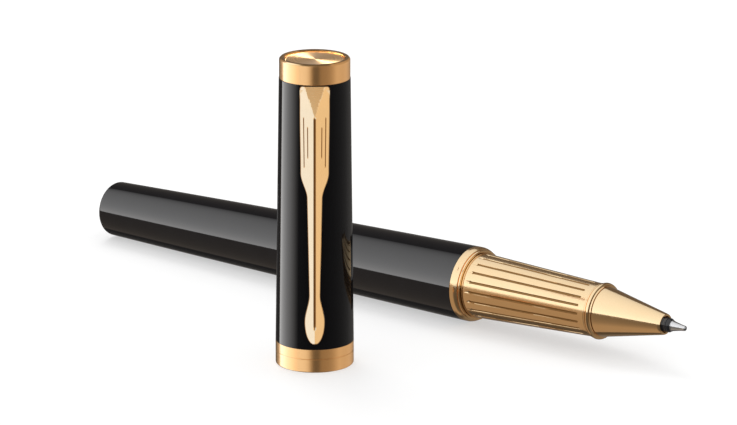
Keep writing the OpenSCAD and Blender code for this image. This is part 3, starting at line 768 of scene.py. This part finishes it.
class ClipForm:
    """The clip's outlines in its own frame, in millimetres: z is the height, y the distance to a
    side of its middle, x the distance from the cap's axis."""

    EDGE = 0.14              # rounding of the front's edges
    ROOF = 0.20              # fall of the front for each millimetre from the ridge
    GROOVE = 0.22            # half the width of the middle groove
    LINE = 0.038             # half the width of an engraved line, as a share of the outer part
    THICKNESS = 0.88
    BLADE_TAPER, BLADE_CORNER = 0.12, 0.45
    WAIST, FLARE, NECK = 4.3, 0.35, 0.90
    PAD, PAD_SWELLING = 1.65, 4.6
    FACET_DEPTH = 0.34
    ROWS = 330
    # Where corners stand: distances from the middle, then shares of what is left to the edge.
    INNER = [0, 0.05, 0.10, 0.15, 0.19, GROOVE, 0.25, 0.28, 0.32]
    OUTER = [0.06, 0.13, 0.22, 0.31, 0.52, 0.59, 0.82, 0.88, 0.91, 0.935, 0.955, 0.97, 0.98,
             0.99, 1.0]
    AT_A_LINE = (-1.4, -1, -0.55, 0, 0.55, 1, 1.4)
    UNDERSIDE = (0.93, 0.6, 0.2, -0.2, -0.6, -0.93)

    def __init__(self):
        self.low, self.high = (corner.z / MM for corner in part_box("clip"))
        inverse = CLIP.inverted()
        corners = [inverse @ v.co for v in frame["nodes"]["clip"].data.vertices]
        reach = max(p.x for p in corners) / MM
        self.half = max(abs(p.y) for p in corners) / MM - FIT_GAP
        self.tube_high = ends("cap_tube", CAP)[1]
        self.band_high = ends("cap_lip_band", CAP)[1]
        self.lip_r = widest("cap_tube", CAP)
        self.top_r = ring_near("cap_tube", CAP, self.tube_high)
        self.root_x, self.root_z = math.hypot(CLIP_ROOT.x, CLIP_ROOT.y) / MM, CLIP_ROOT.z / MM
        self.knuckle = self.high - self.root_z - FIT_GAP
        self.crest = self.high - 4.0
        self.shelf = self.crest - 10.2
        self.pad_z = self.low + 4
        self.face = reach - self.tube(self.low + 8) - 0.03
        self.top_x, self.crest_x = self.root_x + 0.5, self.tube(self.crest) + self.face - 0.02
        self.facet_low = self.crest - 0.9
        self.lines = ((0.40, self.shelf + 2.6, self.crest - 2.6),
                      (0.70, self.shelf + 1.0, self.crest - 1.0))
        beside_lines = [at + k * self.LINE for at, _, _ in self.lines for k in self.AT_A_LINE]
        self.shares = sorted(self.OUTER + beside_lines)

    def tube(self, z):
        """Radius of the cap's tube at a height."""
        rise = (z - self.band_high) / (self.tube_high - self.band_high)
        return self.lip_r + (self.top_r - self.lip_r) * rise

    def pad_fall(self, z):
        """Share of the way from the pad's middle to its lower end."""
        return (self.pad_z - z) / (self.pad_z - self.low)

    def width(self, z):
        """Half the width: a wide blade, a waist, a slim neck and a rounded pad."""
        blade = self.half - self.BLADE_TAPER
        swelling_top, waist_low = self.pad_z + self.PAD_SWELLING, self.shelf - self.WAIST
        if z > self.shelf:
            w = self.half - self.BLADE_TAPER * smooth((self.crest - z) / (self.crest - self.shelf))
            past = max(0.0, z - (self.high - self.BLADE_CORNER)) / self.BLADE_CORNER
            return w - self.BLADE_CORNER * fall_of_circle(past) * 0.8
        if z > waist_low:
            return blade - (blade - self.NECK - self.FLARE) * smooth((self.shelf - z) / self.WAIST)
        if z > swelling_top:
            return self.NECK + self.FLARE * (z - swelling_top) / (waist_low - swelling_top)
        if z > self.pad_z:
            swelling = smooth((swelling_top - z) / self.PAD_SWELLING)
            return self.NECK + (self.PAD - self.NECK) * swelling
        return self.PAD * (1 - fall_of_circle(self.pad_fall(z)))

    def front(self, z):
        """How far out the ridge stands: upright, then leaning in towards the knuckle."""
        settle, blend, pad_drop = 8, 0.10, 0.75
        upright = self.tube(z) + self.face - 0.1 * smooth((z - self.crest + settle) / settle)
        rise = (self.high - z) / (self.high - self.crest)
        leaning = self.top_x + (self.crest_x - self.top_x) * rise
        x = (upright + leaning) / 2 - math.hypot((upright - leaning) / 2, blend)
        if z < self.pad_z:
            x -= pad_drop * fall_of_circle(self.pad_fall(z))
        return x

    def facet(self, z):
        """The flat that cuts a triangle off the ridge, with its point down below the crest."""
        rise = (z - self.facet_low) / (self.high - self.facet_low)
        return self.front(z) - self.FACET_DEPTH * rise

    def back(self, z):
        """The side towards the cap: the round knuckle, the lever, and the bump on the tube."""
        bump_z, bump_half, bump_gap, thinnest = self.low + 3.8, 2.2, 0.2, 0.25
        knuckle_low = self.root_z - self.knuckle
        if z > knuckle_low:
            return self.root_x - math.sqrt(max(0.0, self.knuckle ** 2 - (z - self.root_z) ** 2))
        if z < self.crest:
            x = self.front(z) - self.THICKNESS
        else:
            top, bottom = self.root_x + self.knuckle, self.front(self.crest) - self.THICKNESS
            x = top + (bottom - top) * min(1.0, (knuckle_low - z) / (knuckle_low - self.crest))
        closeness = 1 - ((z - bump_z) / bump_half) ** 2
        if closeness > 0:
            x = min(x, x + (self.tube(bump_z) + bump_gap - x) * math.sqrt(closeness))
        return min(x, self.front(z) - thinnest)

    def across(self, w):
        """(distance from the middle, share of the outer part) of the corners of one half row."""
        full_width = 0.9
        squeeze = min(1.0, w / full_width)
        start = self.INNER[-1] * squeeze
        return ([(k * squeeze, 0) for k in self.INNER]
                + [(start + (w - start) * k, k) for k in self.shares])

    def carve(self, y, share, z):
        """Depth of the middle groove and of the plain lines beside it."""
        groove_low, groove_high = self.low + 2.2, self.facet_low + 0.2
        groove_depth, line_depth, line_end = 0.21, 0.10, 0.09
        depth = 0.0
        if groove_low < z < groove_high:
            fade = smooth((z - groove_low) / 1.5) * smooth((groove_high - z) / 0.6)
            depth = groove_depth * fade * max(0.0, 1 - y / self.GROOVE)
        for at, line_low, line_high in self.lines:
            past = max(0.0, line_low - z, z - line_high) / line_end
            off = math.hypot((share - at) / self.LINE, past)
            if off < 1 and share > 0:
                depth = max(depth, line_depth * (1 - off ** 2))
        return depth

    def heights(self):
        """Heights of the rows, with a few more at the ends and at the knuckle."""
        low, high, knuckle_low = self.low, self.high, self.root_z - self.knuckle
        even = [high - (high - low) * i / self.ROWS for i in range(self.ROWS + 1)]
        extra = [high - 0.02, knuckle_low - 0.01, knuckle_low + 0.01]
        extra += [low + 0.02, low + 0.05, low + 0.1]
        return sorted(set(h for h in even + extra if low + 0.001 < h < high - 0.004))

    def front_corner(self, y, share, z, w):
        """(x, y, depth cut, is it on the facet) of a corner of the front."""
        sunk = self.carve(y, share, z)
        x = self.front(z) - self.ROOF * y
        on_facet = z > self.facet_low and self.facet(z) < x and y < w - self.EDGE
        if on_facet:
            x = self.facet(z) - 0.01 * y
        past = max(0.0, y - (w - self.EDGE)) / self.EDGE
        return x - (sunk + self.EDGE * fall_of_circle(past)), y, sunk, on_facet

    def row(self, z):
        """One closed row, over the front and back along the underside."""
        w = max(self.width(z), 0.02)
        half_row = [self.front_corner(y, share, z, w) for y, share in self.across(w)]
        row = [(x, -y, sunk, flat) for x, y, sunk, flat in reversed(half_row[1:])] + half_row
        back_x = self.back(z)
        side_x = max(min(row[0][0] - 0.05, back_x + 0.1), back_x)
        under = [(side_x, 1)] + [(back_x, k) for k in self.UNDERSIDE] + [(side_x, -1)]
        return row + [(x, w * k, 0, False) for x, k in under]


def close_end(bm, row):
    """Closes the open end of a skin with a fan of faces."""
    hub = bm.verts.new(sum((v.co for v in row), Vector()) / len(row))
    for a, b in zip(row, row[1:] + row[:1]):
        bm.faces.new((a, b, hub))


def clip():
    """One closed skin: a roofed bar with a sloped top facet, a groove down its middle, two plain
    lines on each side of it, and a rounded pad at its end."""
    clearly_cut = 0.03
    form = ClipForm()
    bm = bmesh.new()
    rows, deep, flat = [], set(), set()
    for z in form.heights():
        row = form.row(z)
        rows.append([bm.verts.new((x, y, z)) for x, y, _, _ in row])
        deep.update(v for v, corner in zip(rows[-1], row) if corner[2] > clearly_cut)
        flat.update(v for v, corner in zip(rows[-1], row) if corner[3])
    skin(bm, rows)
    close_end(bm, rows[0])
    close_end(bm, rows[-1])
    # the faces in the clip's groove and lines get the darker gold: painted shade
    give_material(bm, deep, 1)
    # the facet's faces get the darker brushed gold: painted shade
    give_material(bm, flat, 2)
    piece = finish_mesh("clip_bar", bm, CLIP, sharp=32)
    return stand_for(piece, "clip", GOLD_CLIP, GOLD_GROOVE_SHADE, GOLD_FACET_SHADED)


# ---- pieces that keep their CAD shape

CAD_LOOKS = {
    "barrel_thread_insert": BRASS, "spring_seat": BLACK_PLASTIC,
    "section_core": BLACK_PLASTIC, "refill_tube": REFILL_PLASTIC, "refill_end_plug": BLACK_PLASTIC,
    "ink_reservoir": INK_FIBRE, "ink_feed": FEED_FIBRE, "inner_cap": BLACK_PLASTIC,
    "clutch_ring": SPRING_STEEL, "clip_plate": GOLD_CAP, "cap_top_screw": STEEL}


def dress_cad_nodes():
    for node, look in CAD_LOOKS.items():
        piece = frame["nodes"][node]
        piece.data.materials.clear()
        piece.data.materials.append(look)


# ---- floor and room

def floor():
    """A pale floor a hair below the object, half lit from within so that shadows stay light."""
    size, gap = 3, 0.00002
    bm = bmesh.new()
    bmesh.ops.create_grid(bm, x_segments=1, y_segments=1, size=size)
    mesh = bpy.data.meshes.new("floor")
    bm.to_mesh(mesh)
    bm.free()
    plane = bpy.data.objects.new("floor", mesh)
    plane.location.z = cad_box[0].z - gap
    plane.visible_glossy = False
    bpy.context.scene.collection.objects.link(plane)

    def build(n):
        paper = n.noise(n.place(), 0.05, 2)
        return {"Base Color": n.mix(paper, (0.46, 0.46, 0.46, 1), (0.48, 0.48, 0.48, 1))}
    glow = {"Roughness": 0.6, "Specular IOR Level": 0.1,
            "Emission Color": (1, 1, 1, 1), "Emission Strength": 0.5}
    mesh.materials.append(material("pale_floor", glow, build))


def warm(shade, how_much=1.0):
    """A grey that turns brown as it darkens, as the walls of a room do that gold lights up."""
    green = 1 - 0.26 * how_much * (1 - shade)
    blue = 1 - 0.5 * how_much * (1 - shade)
    return shade, shade * green, shade * blue, 1


# (degrees to the left of the camera, shade) of the room's walls
ROOM_SHADES = [(-180, 0.20), (-150, 0.18), (-125, 0.30), (-100, 0.28), (-80, 0.23), (-60, 0.17),
               (-30, 0.11), (0, 0.09), (20, 0.10), (50, 0.14), (64, 0.42), (130, 0.42),
               (134, 0.08), (165, 0.10), (180, 0.20)]
ROOM_CEILING = warm(0.14, 0.5)
ROOM_MATT = (1.08, 1.08, 1.08, 1)    # what matt surfaces receive
ROOM_SEEN = (1.0, 1.0, 1.0, 1)       # what the camera sees behind the object


def room_wall(shade):
    """Bright walls are browner than dark ones."""
    return warm(shade, 1.1 if shade > 0.4 else 0.3)


def studio():
    """The room: white to the camera, soft and even on matt things, and plain walls of several
    shades in what shines."""
    world = bpy.data.worlds.new("studio")
    bpy.context.scene.world = world
    world.use_nodes = True
    tree = world.node_tree
    tree.nodes.clear()
    n = Nodes(tree)
    way = n.add("ShaderNodeTexCoord").outputs["Generated"]
    up = n.add("ShaderNodeSeparateXYZ", {0: way}).outputs["Z"]
    share = n.math("ADD", n.math("DIVIDE", n.left_of_camera(way), 2 * math.pi), 0.5)
    walls = n.ramp(share, [(angle / 360 + 0.5, room_wall(shade)) for angle, shade in ROOM_SHADES])
    shiny = n.mix(n.spread(up, (0.0, 0.25), (0, 1)), walls, ROOM_CEILING)
    path = n.add("ShaderNodeLightPath")
    matt = n.mix(path.outputs["Is Glossy Ray"], ROOM_MATT, shiny)
    seen = n.mix(path.outputs["Is Camera Ray"], matt, ROOM_SEEN)
    background = n.add("ShaderNodeBackground", {"Color": seen, "Strength": 1.0})
    output = n.add("ShaderNodeOutputWorld")
    tree.links.new(background.outputs[0], output.inputs[0])


# ---- lights

def only_for(light, pieces):
    """The light falls on these pieces alone, and only they block it."""
    receivers = bpy.data.collections.new(light.name + "_lights")
    blockers = bpy.data.collections.new(light.name + "_blockers")
    for piece in pieces:
        receivers.objects.link(piece)
        blockers.objects.link(piece)
    light.light_linking.receiver_collection = receivers
    light.light_linking.blocker_collection = blockers


def softbox(name, corner, along, up, pieces, shade):
    """A flat light from one corner and two edges, in metres. shade(nodes, position) gives its
    radiance as a colour and a factor."""
    data = bpy.data.lights.new(name, "AREA")
    data.shape = "RECTANGLE"
    data.size, data.size_y = along.length, up.length
    data.energy = math.pi * along.length * up.length    # then the shader's strength is radiance
    data.use_nodes = True
    n = Nodes(data.node_tree)
    emission = data.node_tree.nodes["Emission"]
    colour, factor = shade(n, n.add("ShaderNodeNewGeometry").outputs["Position"])
    data.node_tree.links.new(colour, emission.inputs["Color"])
    emission.inputs["Strength"].default_value = factor
    light = bpy.data.objects.new(name, data)
    x, y = along.normalized(), up.normalized()
    turn = Matrix((x, y, x.cross(y))).transposed().to_4x4()
    light.matrix_world = Matrix.Translation(corner + along / 2 + up / 2) @ turn
    bpy.context.scene.collection.objects.link(light)
    only_for(light, pieces)


def around(left_degrees, distance, height):
    """A point so far to the left of the way to the camera, seen from the cap."""
    a = TO_CAMERA - math.radians(left_degrees)
    return Vector((distance * math.cos(a), distance * math.sin(a), height))


def wall(name, left, right, stops, pieces, low=-0.7, high=0.7):
    """An upright softbox between two angles to the left of the camera. Stops are (angle,
    colour)."""
    distance = 0.6
    first, last = around(left, distance, low), around(right, distance, low)
    peak = max(max(colour[:3]) for _, colour in stops)
    inside = [stop for stop in stops if right <= stop[0] <= left]

    def shade(n, position):
        angles = (math.radians(right), math.radians(left))
        share = n.spread(n.left_of_camera(position), angles, (0, 1))
        places = [((angle - right) / (left - right), [c / peak for c in colour[:3]] + [1])
                  for angle, colour in inside]
        return n.ramp(share, places), peak
    softbox(name, first, last - first, Vector((0, 0, high - low)), pieces, shade)


def overhead(name, angles, radiance, tint, pieces):
    """A softbox over the pen between two angles, from level on the camera's side at 0 to
    straight up at 90, with a radiance that fades from its first edge to its last."""
    distance, left_end, length = 0.6, -1.3, 1.9
    middle, low_end, high_end = PEN.translation, *radiance
    corner, far = (Vector((left_end, middle.y - distance * math.cos(a),
                           middle.z + distance * math.sin(a))) for a in map(math.radians, angles))
    up = far - corner

    def shade(n, position):
        offset = n.add("ShaderNodeVectorMath", {0: position, 1: corner}, operation="SUBTRACT")
        reach = n.add("ShaderNodeVectorMath", {0: offset.outputs[0], 1: up.normalized()},
                      operation="DOT_PRODUCT")
        share = n.spread(reach.outputs["Value"], (0, up.length), (0, 1))
        faded = [high_end / low_end * t for t in tint]
        return n.ramp(share, [(0, (*tint, 1)), (1, [*faded, 1])]), low_end
    softbox(name, corner, Vector((length, 0, 0)), up, pieces, shade)


def panel(name, size, energy, place, target, pieces=None):
    """A plain square light aimed at a point. Without pieces it falls on everything."""
    data = bpy.data.lights.new(name, "AREA")
    data.size, data.energy = size, energy
    light = bpy.data.objects.new(name, data)
    turn = (target - place).to_track_quat("-Z", "Y").to_matrix().to_4x4()
    light.matrix_world = Matrix.Translation(place) @ turn
    bpy.context.scene.collection.objects.link(light)
    if pieces:
        only_for(light, pieces)
    return light


# (degrees to the left of the camera, radiance) along each upright softbox
LACQUER_STOPS = [(angle, (grey, grey, grey)) for angle, grey in
                 ((50, 0), (58, 0.5), (80, 2.6), (100, 3.7), (126.5, 4.4))]
GOLD_SHADES = [(-165, 0.2), (-150, 0.26), (-124, 0.40), (-100, 0.38), (-90, 0.42), (-77, 0.50),
               (-65, 0.38), (-60, 0.33), (-53, 0.27), (-42, 0.22), (-21, 0.22), (-17, 0.18),
               (-13, 0.05), (4, 0.05), (9, 0.25), (18, 0.70), (28, 0.84), (45, 0.86), (61, 0.80)]
GOLD_STOPS = [(angle, warm(shade, 1.6)) for angle, shade in GOLD_SHADES] + [
    (73, (0.90, 0.95, 0.95)), (86, (1.0, 1.1, 1.25)), (100, (1.15, 1.4, 1.8)),
    (117, (1.5, 1.8, 2.4)), (122.5, (1.4, 1.7, 2.2)), (123.5, (0.25, 0.20, 0.15)),
    (150, (0.25, 0.20, 0.15))]
CLIP_STOPS = [(-70, (0.10, 0.08, 0.06)), (-55, (0.15, 0.11, 0.08)), (-46, (0.80, 0.76, 0.66)),
              (-8, (0.82, 0.78, 0.70)), (8, (0.86, 1.15, 1.7)), (46, (1.0, 1.35, 2.2)),
              (55, (0.25, 0.18, 0.12)), (75, (0.15, 0.11, 0.08))]
FACET_STOPS = [(-70, warm(0.5)), (75, warm(0.6))]
FACET_LIGHT_LOW = 0.14   # height where the clip's light ends and its facet's light starts


def lights(pieces):
    """Each group of shining pieces has softboxes of its own, and one key light falls on all."""
    wall("cap_lacquer_left", 126.5, 50, LACQUER_STOPS, pieces["cap_shell"])
    for name, left, right in (("left", 150, 45), ("front", 45, -60), ("right", -60, -165)):
        wall("cap_gold_" + name, left, right, GOLD_STOPS, pieces["cap_gold"])
    wall("clip_front", 75, -70, CLIP_STOPS, pieces["clip"], high=FACET_LIGHT_LOW)
    wall("clip_upper", 75, -70, FACET_STOPS, pieces["clip"], low=FACET_LIGHT_LOW, high=0.6)
    overhead("pen_lacquer_above", (-8, 106), (5.6, 0.35), (1, 1, 1), pieces["barrel"])
    overhead("pen_gold_above", (4, 135), (2.0, 0.95), (0.64, 0.78, 1), pieces["pen_front"])
    overhead("point_above", (4, 120), (1.4, 0.7), (1, 1, 1), pieces["point"])
    disc = Vector((0, 0, cad_box[1].z))
    panel("disc_rake", 0.28, 9.0, Vector((-0.39, 0.08, 0.36)), disc, pieces["disc"])
    panel("disc_back", 1.2, 1.0, around(180, 0.8, 0.32), disc, pieces["disc"])
    key = panel("key", 0.45, 2.8, Vector((-0.55, 0.30, 0.85)), Vector((0, 0.02, 0)))
    key.visible_glossy = False


# ---- camera

def camera():
    """A long lens at the photograph's viewing angle, level with its horizon."""
    place = Vector((0.474657, -0.556848, 0.229056))
    yaw, pitch, roll = math.radians(39.75), math.radians(-15.531), math.radians(-0.189)
    turn = (Matrix.Rotation(yaw, 3, "Z") @ Matrix.Rotation(pitch, 3, "X")
            @ Matrix.Rotation(roll, 3, "Y"))
    right, ahead, up = turn.col
    data = bpy.data.cameras.new("camera")
    data.sensor_width = 36
    data.lens = 225.0
    data.clip_start, data.clip_end = 0.01, 20
    cam = bpy.data.objects.new("camera", data)
    facing = Matrix((right, up, -ahead)).transposed().to_4x4()
    cam.matrix_world = Matrix.Translation(place) @ facing
    bpy.context.scene.collection.objects.link(cam)
    bpy.context.scene.camera = cam


# ---- the whole scene

dress_cad_nodes()
refill_spring()
shining = {
    "barrel": [barrel_tube()],
    "pen_front": [trim_ring(), thread_bush(), grip_sleeve(), bead_ring(), nose_cone()],
    "point": [tip_holder(), steel_point(), writing_ball()],
    "cap_shell": [cap_tube()],
    "cap_gold": [cap_lip_band(), cap_top_ring()],
    "disc": [cap_top_disc()],
    "clip": [clip()]}
inside_cap = [frame["nodes"][node] for node in ("inner_cap", "clutch_ring", "cap_top_screw")]
for dark_piece in shining["cap_shell"] + inside_cap:
    dark_piece.visible_glossy = False    # or the cap's black would show in the gold grip
floor()
studio()
lights(shining)
camera()
bpy.context.scene.view_settings.view_transform = "Standard"
